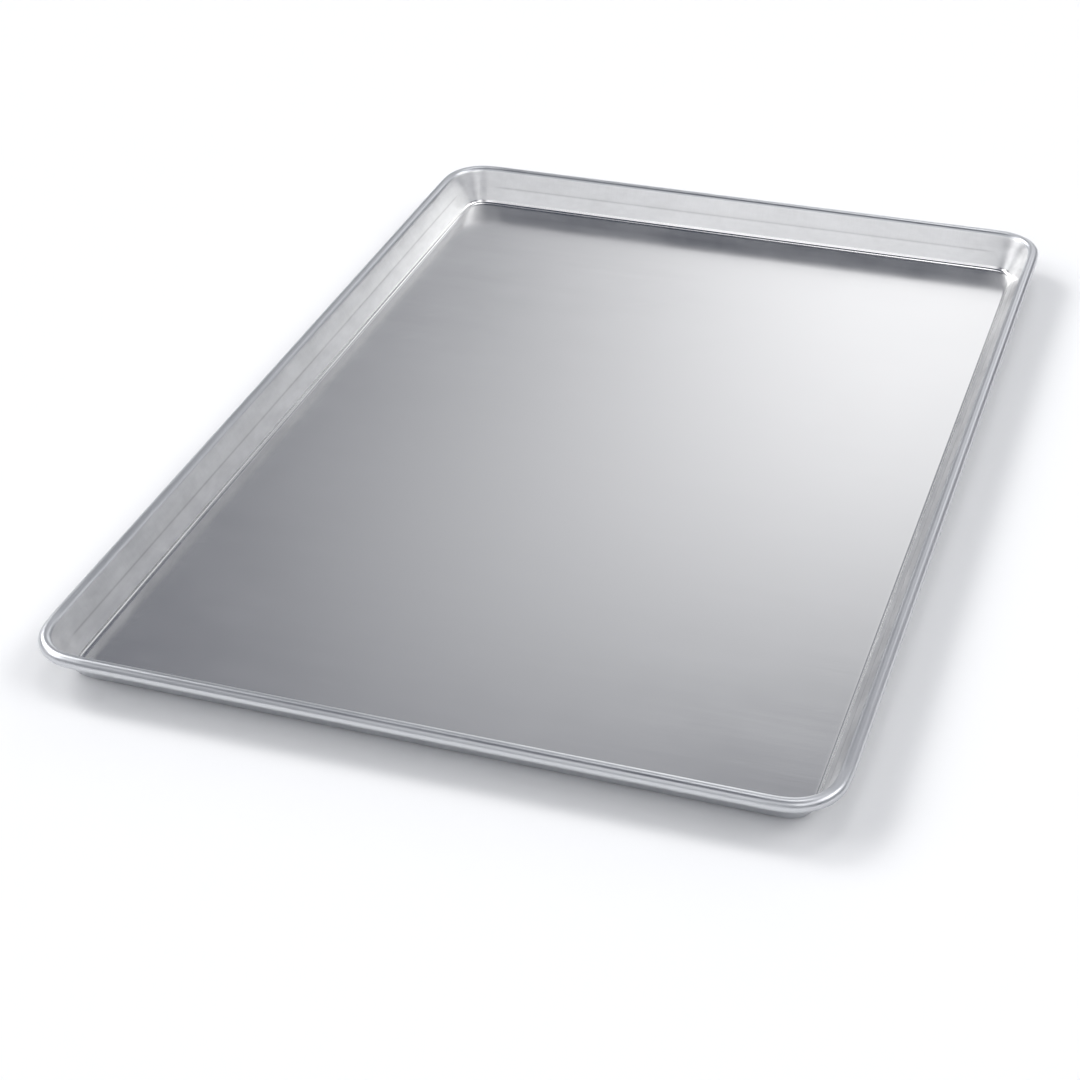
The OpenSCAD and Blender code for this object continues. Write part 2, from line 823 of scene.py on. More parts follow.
@dataclass(frozen=True)
class Ripple:
    """Unevenness of the rolled bead.

    Attributes:
        depth: Greatest depth.
        size: Length of one ripple.
        seed: Seed of the pattern.
    """

    depth: float = 0.00008
    size: float = 0.025
    seed: float = 4.0


@dataclass
class PanShell:
    """The formed sheet: base, bends, walls and the curl round the wire, in one piece.

    Attributes:
        sizes: Sizes of the pan.
        rim: The bead's centre line.
        easing: The group that eases the rim's corners.
        draw_line: The line along the inner walls.
        ripple: Unevenness of the bead.
        pinch: Flats on the bead at the corners.
        corner_reach: Distance from a corner at which the side counts as straight.
        seam: Greatest distance between points that are joined into one.
        sharp: Angle in radians past which an edge is shaded sharp.
    """

    sizes: PanSizes
    rim: RimLine
    easing: bpy.types.NodeTree
    draw_line: DrawLine = DrawLine()
    ripple: Ripple = Ripple()
    pinch: Pinch = Pinch()
    corner_reach: float = 0.012
    seam: float = 1e-5
    sharp: float = math.radians(40)

    def path(self, graph: Graph, inputs: bpy.types.Node) -> bpy.types.NodeSocket:
        """Draws the bead's centre line at height 0, with corners that ease into the straight sides.

        Args:
            graph: The tree.
            inputs: The tree's input node.

        Returns:
            The curve's socket.
        """
        sides = {"Width": inputs.outputs["Path Width"], "Height": inputs.outputs["Path Length"]}
        rectangle = graph.add("GeometryNodeCurvePrimitiveQuadrilateral", sides, mode="RECTANGLE")
        corners = graph.add(
            "GeometryNodeFilletCurve",
            {
                "Curve": rectangle.outputs[0],
                "Count": inputs.outputs["Corner Steps"],
                "Radius": inputs.outputs["Path Radius"],
            },
            mode="POLY",
        )
        return graph.group(self.easing, {
            "Curve": corners.outputs[0],
            "Steps": inputs.outputs["Path Steps"],
            "Passes": inputs.outputs["Corner Easing"],
            "Held Steps": 0,
        }).outputs[0]

    def from_corner(self, graph: Graph, inputs: bpy.types.Node) -> bpy.types.NodeSocket:
        """Measures how far a point lies from the nearest corner, along the side.

        Args:
            graph: The tree.
            inputs: The tree's input node.

        Returns:
            The distance's socket, which is below 0 in the corner itself.
        """
        position = graph.add("GeometryNodeInputPosition").outputs[0]
        x, y, _ = graph.parts(graph.vector("ABSOLUTE", position))
        along_x = graph.math("SUBTRACT", inputs.outputs["Side X"], x)
        along_y = graph.math("SUBTRACT", inputs.outputs["Side Y"], y)
        return graph.math("MAXIMUM", along_x, along_y)

    def hollow(self, graph: Graph, inputs: bpy.types.Node, from_corner: object) -> bpy.types.NodeSocket:
        """Works out how deep the surface is pressed in by the draw line, the ripples and the pinches.

        Args:
            graph: The tree.
            inputs: The tree's input node.
            from_corner: Distance from the nearest corner.

        Returns:
            The depth's socket.
        """
        on_bead = graph.stored(Zone.BEAD.value)
        fade = graph.ramp(from_corner, 0.0, inputs.outputs["Line Fade"])
        across = graph.stored("across")
        line = graph.bell(across, inputs.outputs["Line Place"], inputs.outputs["Line Width"])
        slopes = []
        for edge in ("Wall Foot", "Wall Top"):
            slope = graph.add("ShaderNodeMapRange", {
                "Value": across,
                "From Min": inputs.outputs[edge],
                "From Max": inputs.outputs["Line Place"],
            })
            slopes.append(slope.outputs["Result"])
        bow = graph.product(graph.math("MINIMUM", *slopes), fade, inputs.outputs["Wall Bow"])
        groove = graph.math("ADD", graph.product(line, fade, inputs.outputs["Line Depth"]), bow)
        position = graph.add("GeometryNodeInputPosition").outputs[0]
        cells = graph.scaled(position, graph.math("DIVIDE", 1.0, inputs.outputs["Ripple Size"]))
        wave = graph.noise(cells, 1.0, detail=1.0, seed=inputs.outputs["Seed"])
        ripple = graph.product(wave, on_bead, inputs.outputs["Ripple Depth"])
        pinched = graph.bell(from_corner, 0.0, inputs.outputs["Pinch Length"])
        around = graph.bell(across, inputs.outputs["Pinch Place"], inputs.outputs["Pinch Width"])
        pinch = graph.product(pinched, around, inputs.outputs["Pinch Depth"])
        return graph.total(groove, ripple, pinch)

    def unwrap(self, graph: Graph, mesh: object, around: object) -> bpy.types.NodeSocket:
        """Gives the swept sheet a UV map in metres, along the rim and across the sheet.

        Args:
            graph: The tree.
            mesh: The swept mesh.
            around: Length of the whole path.

        Returns:
            The mesh's socket.
        """
        start_share, seam_share = 0.25, 0.3
        along = graph.stored("along")
        mean = graph.add("GeometryNodeFieldOnDomain", {0: along}, data_type="FLOAT", domain="FACE")
        # The face that closes the round has a mean of half a round; its corners at 0 are moved a round on.
        early = graph.math("LESS_THAN", along, graph.math("MULTIPLY", around, start_share))
        late = graph.math("GREATER_THAN", mean.outputs[0], graph.math("MULTIPLY", around, seam_share))
        wrapped = graph.math("MULTIPLY_ADD", graph.math("MULTIPLY", early, late), around, along)
        return graph.store(mesh, "UVMap", graph.join(wrapped, graph.stored("across")), "FLOAT2", "CORNER")

    def face(self, graph: Graph, path: object, inputs: bpy.types.Node,
             height: object) -> bpy.types.NodeSocket:
        """Fills the flat of the base, inside the swept sheet.

        Args:
            graph: The tree.
            path: The bead's centre line.
            inputs: The tree's input node.
            height: Height of the face.

        Returns:
            The face's socket.
        """
        normal = graph.add("GeometryNodeInputNormal").outputs[0]
        inward = graph.scaled(normal, inputs.outputs["Face Offset"])
        ring = graph.add("GeometryNodeSetPosition", {"Geometry": path, "Offset": inward})
        flat = graph.add("GeometryNodeFillCurve", {"Curve": ring.outputs[0]}, mode="NGONS")
        lift = {"Geometry": flat.outputs[0], "Translation": graph.join(z=height)}
        return graph.add("GeometryNodeTransform", lift).outputs[0]

    def tree(self, values: dict[str, object]) -> bpy.types.NodeTree:
        """Builds the tree that sweeps the section round the rim and closes the base.

        Args:
            values: Value of each of its inputs, by name.

        Returns:
            The geometry tree.
        """
        graph, inputs, outputs = new_tree(
            "sheet_round_rim",
            TreeKind.GEOMETRY,
            {"Section": SocketKind.GEOMETRY} | kinds_of(values),
            {"Geometry": SocketKind.GEOMETRY},
        )
        path = self.path(graph, inputs)
        around = graph.add("GeometryNodeCurveLength", {0: path}).outputs[0]
        so_far = graph.add("GeometryNodeSplineParameter").outputs["Length"]
        marked = graph.store(path, "along", so_far)
        chain = graph.add("GeometryNodeMeshToCurve", {"Mesh": inputs.outputs["Section"]}).outputs[0]
        # The sweep takes the section with its height downwards.
        turned = {"Geometry": chain, "Rotation": (math.pi, 0.0, 0.0)}
        upright = graph.add("GeometryNodeTransform", turned).outputs[0]
        swept = graph.add("GeometryNodeCurveToMesh", {"Curve": marked, "Profile Curve": upright})
        from_corner = self.from_corner(graph, inputs)
        straight = graph.ramp(from_corner, 0.0, inputs.outputs["Corner Reach"])
        placed = graph.store(swept.outputs[0], "straight", straight)
        normal = graph.add("GeometryNodeInputNormal").outputs[0]
        pressed = graph.scaled(normal, graph.product(self.hollow(graph, inputs, from_corner), -1.0))
        worn = graph.add("GeometryNodeSetPosition", {"Geometry": placed, "Offset": pressed})
        band = self.unwrap(graph, worn.outputs[0], around)
        baking_face = self.face(graph, path, inputs, inputs.outputs["Sheet Thickness"])
        underside = self.face(graph, path, inputs, 0.0)
        together = graph.add("GeometryNodeJoinGeometry")
        for part in (band, baking_face, underside):
            graph.feed(together.inputs[0], part)
        seams = {"Geometry": together.outputs[0], "Distance": inputs.outputs["Seam Width"]}
        merged = graph.add("GeometryNodeMergeByDistance", seams)
        graph.finish_mesh(merged.outputs[0], inputs, outputs)
        return graph.tree

    def build(self, material: bpy.types.Material) -> bpy.types.Object:
        """Makes the piece.

        Args:
            material: Its material.

        Returns:
            The piece, riding on its body.
        """
        section = SheetSection(self.sizes)
        piece = section.chain()
        values = {
            "Path Width": self.sizes.path_width,
            "Path Length": self.sizes.path_length,
            "Path Radius": self.rim.drawn_radius,
            "Side X": self.sizes.side_x,
            "Side Y": self.sizes.side_y,
            "Corner Steps": self.rim.corner_steps,
            "Path Steps": self.rim.steps,
            "Corner Easing": self.rim.passes,
            "Face Offset": section.start,
            "Sheet Thickness": self.sizes.sheet,
            "Line Place": self.draw_line.place,
            "Line Width": self.draw_line.width,
            "Line Depth": self.draw_line.depth,
            "Line Fade": self.draw_line.fade,
            "Wall Foot": section.wall_foot,
            "Wall Top": section.wall_foot + self.sizes.wall_length,
            "Wall Bow": self.draw_line.bow,
            "Ripple Depth": self.ripple.depth,
            "Ripple Size": self.ripple.size,
            "Pinch Place": self.pinch.place,
            "Pinch Width": self.pinch.width,
            "Pinch Length": self.pinch.length,
            "Pinch Depth": self.pinch.depth,
            "Corner Reach": self.corner_reach,
            "Seam Width": self.seam,
            "Seed": self.ripple.seed,
            "Sharp Angle": self.sharp,
            "Material": material,
        }
        run_tree(piece, self.tree(values), values)
        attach(piece, "root")
        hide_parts("pan_shell")
        return piece


@dataclass
class RimWire:
    """The steel wire inside the bead, its two ends butted on one long side.

    Attributes:
        sizes: Sizes of the pan.
        rim: The bead's centre line.
        easing: The group that eases the rim's corners.
        sides: Sides of the wire's section.
        held_steps: Steps at each end of the wire that the easing leaves as they are.
        sharp: Angle in radians past which an edge is shaded sharp.
    """

    sizes: PanSizes
    rim: RimLine
    easing: bpy.types.NodeTree
    sides: int = 20
    held_steps: int = 12
    sharp: float = math.radians(40)

    def centre_line(self) -> bpy.types.Object:
        """Draws the wire's centre line from one end round to the other.

        Returns:
            The line's object.
        """
        sizes = self.sizes
        radius, steps = self.rim.drawn_radius, self.rim.corner_steps
        half_x, half_y = sizes.path_width / 2, sizes.path_length / 2
        height = sizes.bead_height
        ends = [sizes.butt_at + sizes.butt_gap / 2, sizes.butt_at - sizes.butt_gap / 2]
        points = [(half_x, ends[0], height)]
        corners = [(1, 1, 0.0), (-1, 1, 0.5), (-1, -1, 1.0), (1, -1, 1.5)]
        for side_x, side_y, half_turns in corners:
            for step in range(steps + 1):
                angle = math.pi * (half_turns + 0.5 * step / steps)
                x = side_x * (half_x - radius) + radius * math.cos(angle)
                y = side_y * (half_y - radius) + radius * math.sin(angle)
                points.append((x, y, height))
        points.append((half_x, ends[1], height))
        return polyline("rim_wire_drawn", points)

    def tree(self, values: dict[str, object]) -> bpy.types.NodeTree:
        """Builds the tree that gives the centre line its round section.

        Args:
            values: Value of each of its inputs, by name.

        Returns:
            The geometry tree.
        """
        graph, inputs, outputs = new_tree(
            "wire_round_rim",
            TreeKind.GEOMETRY,
            {"Centre Line": SocketKind.GEOMETRY} | kinds_of(values),
            {"Geometry": SocketKind.GEOMETRY},
        )
        line = graph.add("GeometryNodeMeshToCurve", {"Mesh": inputs.outputs["Centre Line"]}).outputs[0]
        eased = graph.group(self.easing, {
            "Curve": line,
            "Steps": inputs.outputs["Path Steps"],
            "Passes": inputs.outputs["Corner Easing"],
            "Held Steps": inputs.outputs["Held Steps"],
        }).outputs[0]
        so_far = graph.add("GeometryNodeSplineParameter").outputs["Length"]
        marked = graph.store(eased, "along", so_far)
        ring = {"Resolution": inputs.outputs["Sides"], "Radius": inputs.outputs["Radius"]}
        circle = graph.add("GeometryNodeCurvePrimitiveCircle", ring, mode="RADIUS").outputs[0]
        place = graph.add("GeometryNodeInputPosition").outputs[0]
        section = graph.store(circle, "ring", place, "FLOAT_VECTOR")
        sweep = {"Curve": marked, "Profile Curve": section, "Fill Caps": True}
        swept = graph.add("GeometryNodeCurveToMesh", sweep).outputs[0]
        graph.finish_mesh(swept, inputs, outputs)
        return graph.tree

    def build(self, material: bpy.types.Material) -> bpy.types.Object:
        """Makes the piece.

        Args:
            material: Its material.

        Returns:
            The piece, riding on its body.
        """
        piece = self.centre_line()
        values = {
            "Path Steps": self.rim.steps,
            "Corner Easing": self.rim.passes,
            "Held Steps": self.held_steps,
            "Radius": self.sizes.wire / 2,
            "Sides": self.sides,
            "Sharp Angle": self.sharp,
            "Material": material,
        }
        run_tree(piece, self.tree(values), values)
        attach(piece, "root")
        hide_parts("rim_wire")
        return piece


def new_material(name: str, metal: bool = True) -> tuple[bpy.types.Material, Graph, bpy.types.Node]:
    """Starts a material.

    Args:
        name: Its name.
        metal: Whether it is a metal.

    Returns:
        The material, the graph of its nodes and its Principled shader.
    """
    material = bpy.data.materials.new(name)
    material.use_nodes = True
    shader = material.node_tree.nodes["Principled BSDF"]
    shader.inputs["Metallic"].default_value = float(metal)
    return material, Graph(material.node_tree), shader


@dataclass(frozen=True)
class Pattern:
    """One effect on the surface: how large it is, and how much it changes.

    Attributes:
        length: Size of its marks along their grain, in metres.
        width: Size of its marks across their grain.
        tone: Share by which it lightens and darkens the metal.
        rough: What it adds to the roughness and takes from it.
        height: How far it raises and lowers the surface, in metres.
        seed: Seed of its noise.
    """

    length: float
    width: float
    tone: float
    rough: float
    height: float
    seed: float


class Marks(Enum):
    """Kinds of effect that a pattern can be drawn with."""

    GRAIN = "metal_grain"
    SCRATCH = "hair_scratches"


class Skin:
    """Adds up the effects that lie on one metal."""

    def __init__(self, graph: Graph, effects: "SurfaceEffects", roughness: object) -> None:
        """Starts with clean metal.

        Args:
            graph: The material's graph.
            effects: The shared effects.
            roughness: Roughness of the clean metal, a number or socket.
        """
        self.graph = graph
        self.effects = effects
        self.tone: object = 1.0
        self.rough = roughness
        self.height: object = 0.0

    def lay(self, marks: Marks, pattern: Pattern, vector: object, mask: object = 1.0) -> None:
        """Lays one effect over the ones before it.

        Args:
            marks: The kind of effect.
            pattern: Its size and strength.
            vector: Where it is read; its grain runs along x.
            mask: Where it shows, from 0 to 1.
        """
        node = self.graph.group(self.effects.trees[marks], {
            "Vector": vector,
            "Mask": mask,
            "Length": pattern.length,
            "Width": pattern.width,
            "Tone": pattern.tone,
            "Roughness": pattern.rough,
            "Height": pattern.height,
            "Seed": pattern.seed,
        })
        self.tone = self.graph.math("ADD", self.tone, node.outputs["Tone"])
        self.rough = self.graph.math("ADD", self.rough, node.outputs["Roughness"])
        self.height = self.graph.math("ADD", self.height, node.outputs["Height"])

    def tint(self, mask: object, share: float) -> None:
        """Lightens or darkens the metal under a mask.

        Args:
            mask: Where it shows, from 0 to 1.
            share: Share by which the metal is lighter, or darker where it is below 0.
        """
        self.tone = self.graph.math("MULTIPLY_ADD", mask, share, self.tone)

    def dress(self, shader: bpy.types.Node, colour: object) -> None:
        """Gives the result to the material's shader.

        Args:
            shader: The Principled shader.
            colour: Colour of the clean metal, as a colour or socket.
        """
        bump = self.graph.add("ShaderNodeBump", {"Height": self.height, "Distance": 1.0, "Strength": 1.0})
        self.graph.feed(shader.inputs["Base Color"], self.graph.scaled(colour, self.tone))
        self.graph.feed(shader.inputs["Roughness"], self.rough)
        self.graph.feed(shader.inputs["Normal"], bump.outputs[0])


class SurfaceEffects:
    """Shader groups that both metals use."""

    def __init__(self) -> None:
        """Builds the groups."""
        self.trees = {Marks.GRAIN: self.grain(), Marks.SCRATCH: self.scratches()}

    @staticmethod
    def start(name: str) -> tuple[Graph, bpy.types.Node, bpy.types.Node, bpy.types.NodeSocket]:
        """Starts a group with the inputs and outputs that every effect has.

        Args:
            name: The group's name.

        Returns:
            Its graph, input node and output node, and its place in cells of its own size.
        """
        number = SocketKind.NUMBER
        graph, inputs, outputs = new_tree(
            name,
            TreeKind.SHADER,
            {
                "Vector": SocketKind.VECTOR,
                "Mask": number,
                "Length": number,
                "Width": number,
                "Tone": number,
                "Roughness": number,
                "Height": number,
                "Seed": number,
            },
            {"Tone": number, "Roughness": number, "Height": number},
        )
        places = graph.parts(inputs.outputs["Vector"])
        sides = [inputs.outputs[side] for side in ("Length", "Width", "Width")]
        cells = graph.join(*(graph.math("DIVIDE", place, side) for place, side in zip(places, sides)))
        return graph, inputs, outputs, cells

    @staticmethod
    def end(graph: Graph, inputs: bpy.types.Node, outputs: bpy.types.Node, value: object) -> None:
        """Scales an effect's value and puts it out.

        Args:
            graph: The group's graph.
            inputs: Its input node.
            outputs: Its output node.
            value: The effect's value, about 0 on average.
        """
        shown = graph.math("MULTIPLY", value, inputs.outputs["Mask"])
        for name in ("Tone", "Roughness", "Height"):
            graph.feed(outputs.inputs[name], graph.math("MULTIPLY", shown, inputs.outputs[name]))

    def grain(self) -> bpy.types.NodeTree:
        """Builds the grain: cloudy marks, drawn out into lines where length and width differ.

        Returns:
            The group's tree.
        """
        darkest, lightest = 0.25, 0.75
        graph, inputs, outputs, cells = self.start(Marks.GRAIN.value)
        noise = graph.noise(cells, 1.0, detail=2.0, roughness=0.6, seed=inputs.outputs["Seed"])
        self.end(graph, inputs, outputs, graph.ramp(noise, darkest, lightest, -1.0, 1.0))
        return graph.tree

    def scratches(self) -> bpy.types.NodeTree:
        """Builds sparse hair scratches: thin contour lines of a noise, broken up by another one.

        Returns:
            The group's tree.
        """
        angle, thin, contour = math.radians(24), 0.012, 0.5
        rare, common, patch_cells, next_seed = 0.58, 0.70, 2.3, 7.0
        graph, inputs, outputs, cells = self.start(Marks.SCRATCH.value)
        turn = {"Vector": cells, "Angle": angle}
        turned = graph.add("ShaderNodeVectorRotate", turn, rotation_type="Z_AXIS").outputs[0]
        noise = graph.noise(turned, 1.0, detail=0.0, seed=inputs.outputs["Seed"])
        line = graph.bell(noise, contour, thin)
        patch_seed = graph.math("ADD", inputs.outputs["Seed"], next_seed)
        patches = graph.noise(cells, patch_cells, detail=1.0, seed=patch_seed)
        self.end(graph, inputs, outputs, graph.product(line, graph.ramp(patches, rare, common)))
        return graph.tree


@dataclass(frozen=True)
class SheetFinish:
    """Mill finish of the aluminium sheet, rubbed by the die on the walls and by the rollers on the bead.

    Attributes:
        colour: Colour of clean metal on the base.
        wall_colour_with_painted_light: Colour of the rubbed metal on the walls, a little lighter than the
            base's as painted light that brightens their reflections.
        bead_colour_with_painted_shade: Colour of the rolled metal on the bead and of the outside, made
            darker than the base's: painted shade that stands in for the dim surroundings they reflect.
        base_roughness: Roughness of the base.
        wall_roughness: Roughness of the walls.
        bead_roughness: Roughness of the bead.
        outside_roughness: Roughness of the outside and underside.
        corner_roughness: What the stretching of the metal adds to it in the corners.
        rolled: Fine lines of the rolled sheet, across the pan.
        bands: Broad faint bands of the rolled sheet.
        clouds: Faint clouds from handling.
        hairs: Hair scratches.
        mottle: Broad patches that the lubricant left on the walls.
        blotches: Blotches left on the walls by the die.
        streaks: Streaks drawn up the walls.
        streak_start: Distance up the section at which the streaks are half there.
        streak_ease: Distance from there to where they are all there, or not at all.
        rubbed: Lines along the walls and the bead.
        chatter: Small marks of the roller along the top of the bead.
        chatter_place: Distance up and round the section at which the chatter lies.
        chatter_width: Half width of the chatter.
        draw_line: The line along the inner walls.
        line_painted_shade: Share by which the line is darker, which is painted shade in its crease.
    """

    colour: Colour = (0.88, 0.875, 0.868)
    wall_colour_with_painted_light: Colour = (0.90, 0.90, 0.895)
    bead_colour_with_painted_shade: Colour = (0.62, 0.63, 0.65)
    base_roughness: float = 0.17
    wall_roughness: float = 0.33
    bead_roughness: float = 0.31
    outside_roughness: float = 0.34
    corner_roughness: float = 0.07
    rolled: Pattern = Pattern(0.090, 0.0009, 0.012, 0.015, 0.3e-6, 1.0)
    bands: Pattern = Pattern(0.300, 0.012, 0.006, 0.010, 1.5e-6, 2.0)
    clouds: Pattern = Pattern(0.060, 0.045, 0.012, 0.020, 3.0e-6, 3.0)
    hairs: Pattern = Pattern(0.060, 0.022, 0.030, 0.030, 0.0, 4.0)
    mottle: Pattern = Pattern(0.030, 0.012, 0.065, 0.020, 1.0e-6, 7.0)
    blotches: Pattern = Pattern(0.008, 0.005, 0.030, 0.014, 1.0e-6, 5.0)
    streaks: Pattern = Pattern(0.014, 0.0013, 0.018, 0.014, 0.4e-6, 6.0)
    streak_start: float = 0.0155
    streak_ease: float = 0.001
    rubbed: Pattern = Pattern(0.080, 0.0009, 0.012, 0.010, 0.5e-6, 8.0)
    chatter: Pattern = Pattern(0.0022, 0.0010, 0.030, 0.020, 1.5e-6, 9.0)
    chatter_place: float = 0.0300
    chatter_width: float = 0.0016
    draw_line: DrawLine = DrawLine()
    line_painted_shade: float = -0.22

    def material(self, effects: SurfaceEffects) -> bpy.types.Material:
        """Builds the material.

        Args:
            effects: The shared effects.

        Returns:
            The material.
        """
        material, graph, shader = new_material("mill_aluminium")
        position = graph.add("ShaderNodeTexCoord").outputs["Object"]
        sheet = graph.add("ShaderNodeUVMap", uv_map="UVMap").outputs[0]
        along, across, _ = graph.parts(sheet)
        uphill = graph.join(across, along)
        wall, bead, outside = (graph.attribute(zone.value) for zone in Zone)
        straight = graph.attribute("straight")
        formed = graph.total(wall, bead, outside)
        flat = graph.math("SUBTRACT", 1.0, formed)
        rough: object = self.base_roughness
        zones = {wall: self.wall_roughness, bead: self.bead_roughness, outside: self.outside_roughness}
        for mask, value in zones.items():
            rough = graph.math("MULTIPLY_ADD", mask, value - self.base_roughness, rough)
        stretched = graph.product(formed, graph.math("SUBTRACT", 1.0, straight))
        rough = graph.math("MULTIPLY_ADD", stretched, self.corner_roughness, rough)
        skin = Skin(graph, effects, rough)
        skin.lay(Marks.GRAIN, self.rolled, position, flat)
        skin.lay(Marks.GRAIN, self.bands, position, flat)
        skin.lay(Marks.GRAIN, self.clouds, position)
        skin.lay(Marks.SCRATCH, self.hairs, position)
        skin.lay(Marks.GRAIN, self.mottle, sheet, wall)
        skin.lay(Marks.GRAIN, self.blotches, sheet, graph.math("ADD", wall, outside))
        ends = (self.streak_start - self.streak_ease, self.streak_start + self.streak_ease)
        drawn = graph.ramp(across, *ends)
        skin.lay(Marks.GRAIN, self.streaks, uphill, graph.product(wall, drawn, straight))
        skin.lay(Marks.GRAIN, self.rubbed, sheet, graph.math("ADD", wall, bead))
        top = graph.bell(across, self.chatter_place, self.chatter_width)
        skin.lay(Marks.GRAIN, self.chatter, sheet, graph.product(bead, top, straight))
        # The draw line is painted darker as well as pressed in: painted shade in its crease.
        line = graph.bell(across, self.draw_line.place, self.draw_line.width)
        skin.tint(graph.product(line, wall, straight), self.line_painted_shade)
        # The walls' colour is a little lighter than the base's: painted light that brightens their
        # reflections.
        inside = graph.mix(wall, (*self.colour, 1.0), (*self.wall_colour_with_painted_light, 1.0))
        # The bead and the outside are painted darker than the base: painted shade that stands in for the
        # dim surroundings they reflect.
        worked_and_shaded = graph.math("ADD", bead, outside)
        skin.dress(shader, graph.mix(worked_and_shaded, inside, (*self.bead_colour_with_painted_shade, 1.0)))
        return material


@dataclass(frozen=True)
class WireFinish:
    """Zinc-coated steel wire.

    Attributes:
        colour: Colour of the coating.
        roughness: Its roughness.
        drawn: Lines that the drawing die left along the wire.
        spangle: Mottle of the zinc.
    """

    colour: Colour = (0.50, 0.51, 0.52)
    roughness: float = 0.36
    drawn: Pattern = Pattern(0.020, 0.0004, 0.08, 0.06, 1.0e-6, 11.0)
    spangle: Pattern = Pattern(0.003, 0.002, 0.10, 0.08, 2.0e-6, 12.0)

    def material(self, effects: SurfaceEffects) -> bpy.types.Material:
        """Builds the material.

        Args:
            effects: The shared effects.

        Returns:
            The material.
        """
        material, graph, shader = new_material("zinc_coated_steel")
        ring = graph.add("ShaderNodeAttribute", attribute_name="ring").outputs["Vector"]
        across, over, _ = graph.parts(ring)
        surface = graph.join(graph.attribute("along"), across, over)
        skin = Skin(graph, effects, self.roughness)
        skin.lay(Marks.GRAIN, self.drawn, surface)
        skin.lay(Marks.GRAIN, self.spangle, surface)
        skin.dress(shader, self.colour)
        return material


def compass(azimuth: float, elevation: float) -> Vector:
    """Turns a compass bearing into a direction.

    Args:
        azimuth: Degrees round the pan, 0 at +Y and 90 at +X.
        elevation: Degrees above the horizon.

    Returns:
        The unit vector.
    """
    turn, rise = math.radians(azimuth), math.radians(elevation)
    level = math.cos(rise)
    return Vector((math.sin(turn) * level, math.cos(turn) * level, math.sin(rise)))


@dataclass(frozen=True)
class Glow:
    """Soft round light in the studio's dome.

    Attributes:
        azimuth: Direction round the pan in degrees, 0 at +Y and 90 at +X.
        elevation: Degrees above the horizon.
        spread: Degrees from its middle to where it is half as bright.
        strength: Brightness in its middle.
    """

    azimuth: float
    elevation: float
    spread: float
    strength: float

    @property
    def direction(self) -> Vector:
        """Unit vector towards its middle."""
        return compass(self.azimuth, self.elevation)


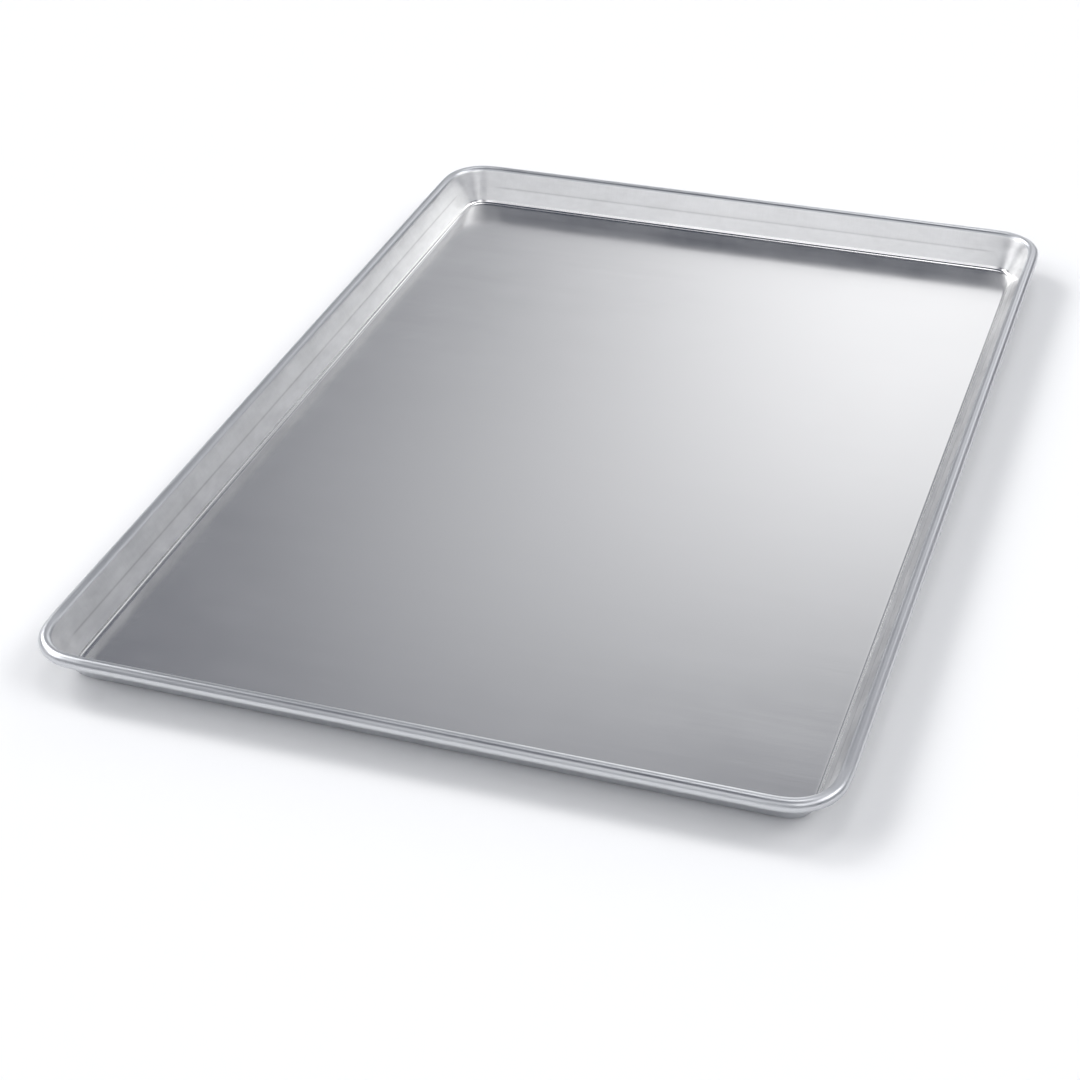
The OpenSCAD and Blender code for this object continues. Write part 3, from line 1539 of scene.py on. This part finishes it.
@dataclass(frozen=True)
class Studio:
    """Plain pale floor under a soft dome of light.

    Attributes:
        glows: The soft lights in the dome.
        dome: Colour of the dome between them, cool.
        horizon_white: Elevation up to which the dome is as white as the floor, in degrees.
        horizon_end: Elevation at which that white has faded out.
        opening: Azimuth of the part of the horizon that is left dark, beside the pan's left wall.
        opening_inner: Degrees from its middle to where it starts to fade.
        opening_outer: Degrees from its middle to where it ends.
        floor_colour: Colour of the floor.
        floor_size: Side of the floor.
        floor_gap: Distance of the floor below the pan's underside.
    """

    glows: tuple[Glow, ...] = (
        Glow(349.0, 12.0, 8.0, 2.1),
        Glow(14.5, 26.5, 8.0, 2.1),
        Glow(43.0, 19.0, 8.5, 1.0),
        Glow(193.0, 24.5, 9.0, 1.6),
        Glow(145.5, 45.0, 12.0, 2.9),
        Glow(251.0, 34.5, 11.0, 5.1),
        Glow(337.5, 34.5, 8.0, 0.4),
        Glow(352.0, 29.0, 8.0, 0.9),
        Glow(63.5, 41.5, 10.0, 4.4),
        Glow(293.0, 38.5, 9.0, 11.8),
        Glow(322.0, 14.0, 7.0, 0.7),
        Glow(92.0, 45.0, 10.0, 3.8),
        Glow(197.0, 48.5, 8.0, 1.8),
        Glow(357.0, 68.0, 8.5, 4.3),
    )
    dome: Colour = (0.004, 0.012, 0.040)
    horizon_white: float = 2.0
    horizon_end: float = 4.5
    opening: float = 45.0
    opening_inner: float = 26.0
    opening_outer: float = 38.0
    floor_colour: Colour = (0.97, 0.97, 0.97)
    floor_size: float = 120.0
    floor_gap: float = 0.0002

    def light(self) -> None:
        """Sets the world: a dim dome with a white horizon and soft glows in it."""
        world = bpy.data.worlds.new("studio_dome")
        world.use_nodes = True
        bpy.context.scene.world = world
        graph = Graph(world.node_tree)
        background = world.node_tree.nodes["Background"]
        direction = graph.vector("NORMALIZE", graph.add("ShaderNodeTexCoord").outputs["Generated"])
        height = graph.parts(direction)[2]
        low, high = (math.sin(math.radians(angle)) for angle in (self.horizon_white, self.horizon_end))
        band = graph.ramp(height, low, high, 1.0, 0.0)
        towards = graph.vector("DOT_PRODUCT", direction, compass(self.opening, 0.0))
        outer, inner = (math.cos(math.radians(angle)) for angle in (self.opening_outer, self.opening_inner))
        total: object = graph.product(band, graph.ramp(towards, outer, inner, 1.0, 0.0))
        for glow in self.glows:
            sharpness = math.log(2) / (1 - math.cos(math.radians(glow.spread)))
            near = graph.vector("DOT_PRODUCT", direction, glow.direction)
            level = graph.math("MULTIPLY_ADD", near, sharpness, -sharpness)
            total = graph.math("MULTIPLY_ADD", graph.math("EXPONENT", level), glow.strength, total)
        light = graph.vector("ADD", graph.join(total, total, total), self.dome)
        graph.feed(background.inputs["Color"], light)
        background.inputs["Strength"].default_value = 1.0

    def floor(self) -> None:
        """Lays the floor, which can be seen through from below."""
        half = self.floor_size / 2
        corners = [(-half, -half), (half, -half), (half, half), (-half, half)]
        mesh = bpy.data.meshes.new("floor")
        mesh.from_pydata([(x, y, -self.floor_gap) for x, y in corners], [], [(0, 1, 2, 3)])
        obj = bpy.data.objects.new("floor", mesh)
        bpy.context.scene.collection.objects.link(obj)
        material, graph, shader = new_material("pale_floor", metal=False)
        shader.inputs["Base Color"].default_value = (*self.floor_colour, 1.0)
        shader.inputs["Roughness"].default_value = 1.0
        shader.inputs["Specular IOR Level"].default_value = 0.0
        from_below = graph.add("ShaderNodeNewGeometry").outputs["Backfacing"]
        clear = graph.add("ShaderNodeBsdfTransparent").outputs[0]
        shown = graph.add("ShaderNodeMixShader", {0: from_below, 1: shader.outputs[0], 2: clear})
        graph.feed(graph.tree.nodes["Material Output"].inputs["Surface"], shown.outputs[0])
        mesh.materials.append(material)


@dataclass(frozen=True)
class PhotoCamera:
    """Camera that stood where the photograph was taken from.

    Attributes:
        azimuth: Degrees round the pan from -Y towards +X.
        elevation: Degrees above the horizon.
        distance: From the point that it looks at.
        target: The point that it looks at.
        roll: Turn about its own axis, in degrees.
        focal: Focal length in pixels of the photograph.
        centre: Pixel that lies on its axis.
        frame: Side of the square photograph, in pixels.
        sensor: Side of its sensor in millimetres.
    """

    azimuth: float = 18.443
    elevation: float = 34.282
    distance: float = 1.28316
    target: tuple[float, float, float] = (0.04255, -0.11635, 0.012)
    roll: float = -0.866
    focal: float = 2188.15
    centre: tuple[float, float] = (611.87, 540.50)
    frame: int = 1080
    sensor: float = 36.0

    def place(self) -> None:
        """Makes the camera and sets it as the scene's own."""
        back = compass(180.0 - self.azimuth, self.elevation)
        data = bpy.data.cameras.new("camera")
        data.sensor_width = self.sensor
        data.lens = self.focal / self.frame * self.sensor
        data.shift_x = (self.frame / 2 - self.centre[0]) / self.frame
        data.shift_y = (self.centre[1] - self.frame / 2) / self.frame
        camera = bpy.data.objects.new("camera", data)
        roll = Matrix.Rotation(math.radians(self.roll), 3, "Z")
        turn = back.to_track_quat("Z", "Y").to_matrix() @ roll
        stand = Matrix.Translation(Vector(self.target) + back * self.distance)
        camera.matrix_world = stand @ turn.to_4x4()
        bpy.context.scene.collection.objects.link(camera)
        bpy.context.scene.camera = camera


def main() -> None:
    """Builds the pan, its studio and its camera."""
    logging.basicConfig(level=logging.INFO, format="%(name)s: %(message)s")
    bpy.context.scene.view_settings.view_transform = "Standard"
    PhotoCamera().place()
    sizes = PanSizes.from_frame("pan_shell")
    rim = RimLine(sizes)
    easing = rim.easing()
    effects = SurfaceEffects()
    log_piece(PanShell(sizes, rim, easing).build(SheetFinish().material(effects)))
    log_piece(RimWire(sizes, rim, easing).build(WireFinish().material(effects)))
    studio = Studio()
    studio.light()
    studio.floor()


if __name__ == "__main__":
    main()
